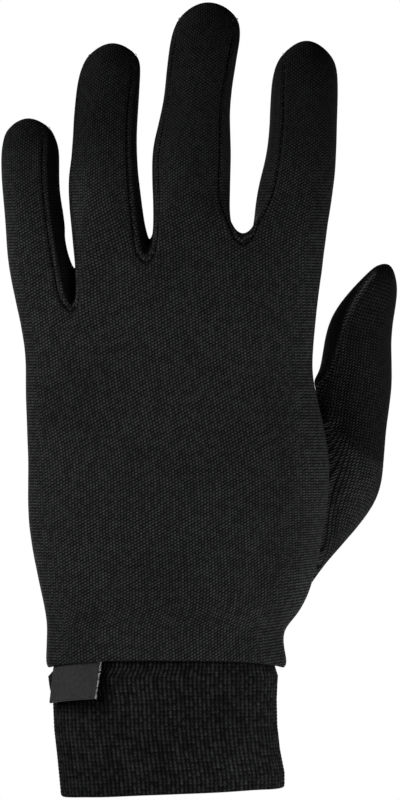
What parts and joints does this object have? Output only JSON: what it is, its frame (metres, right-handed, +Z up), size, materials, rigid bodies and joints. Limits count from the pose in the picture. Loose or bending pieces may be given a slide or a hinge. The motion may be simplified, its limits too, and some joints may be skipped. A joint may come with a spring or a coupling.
{
  "type": "glove liner",
  "caption": "Plain dark knitted glove liner for the left hand with fourchettes between the fingers, a set-in thumb, a ribbed cuff and a folded label.",
  "frame": {"origin": "middle of the cuff's mouth, where the wrist goes in", "axes": "+Z up along the fingers, +X towards the thumb, -Y out of the back of the hand"},
  "size_m": [0.1324, 0.0466, 0.2652],
  "materials": {
    "knit": "fine matt jersey knit",
    "ribbed_knit": "matt rib knit",
    "woven_tape": "satin woven tape"
  },
  "bodies": {
    "root": {"hand_panel": "knit", "fourchette_little_ring": "knit", "fourchette_ring_middle": "knit", "fourchette_middle_index": "knit", "thumb": "knit", "cuff": "ribbed_knit", "label": "woven_tape"}
  },
  "joints": []
}
